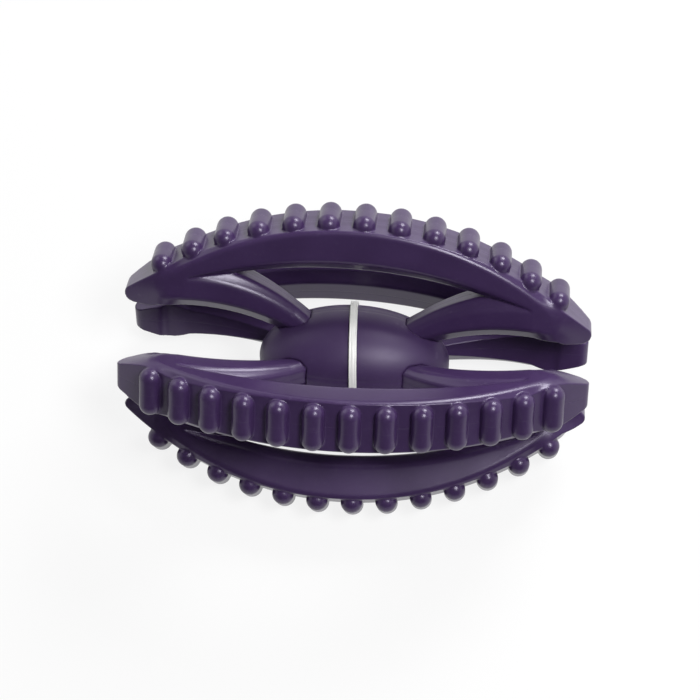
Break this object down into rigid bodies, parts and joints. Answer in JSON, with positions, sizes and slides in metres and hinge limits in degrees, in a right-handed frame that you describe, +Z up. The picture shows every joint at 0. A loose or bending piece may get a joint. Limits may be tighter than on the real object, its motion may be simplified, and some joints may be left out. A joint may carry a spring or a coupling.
{
  "type": "dog chew toy",
  "caption": "Rubber rugby-ball dog toy: open cage of bumpy curved ribs on arms round a solid egg-shaped core, with a nylon cable tie round the core.",
  "frame": {"origin": "on the surface that the ball lies on, below the middle of its bounding box", "axes": "+X along the ball, from the end whose tips stand further apart to the other, +Z up as it lies on its two lower ribs, -Y the front"},
  "size_m": [0.1522, 0.0966, 0.0702],
  "materials": {
    "rubber": "satin deep purple moulded rubber",
    "nylon": "white nylon"
  },
  "bodies": {
    "ball": {"upper_front_rib_top_half": "rubber", "upper_front_rib_front_half": "rubber", "lower_front_rib_front_half": "rubber", "lower_front_rib_bottom_half": "rubber", "lower_rear_rib_bottom_half": "rubber", "lower_rear_rib_rear_half": "rubber", "upper_rear_rib_rear_half": "rubber", "upper_rear_rib_top_half": "rubber", "core": "rubber"},
    "tie": {"cable_tie": "nylon"}
  },
  "joints": [
    {"name": "tie_turn", "type": "hinge", "parent": "ball", "child": "tie", "pos_m": [-0.00068, 0, 0.02838], "axis": [0.9986, 0.0523, 0], "continuous": true}
  ]
}
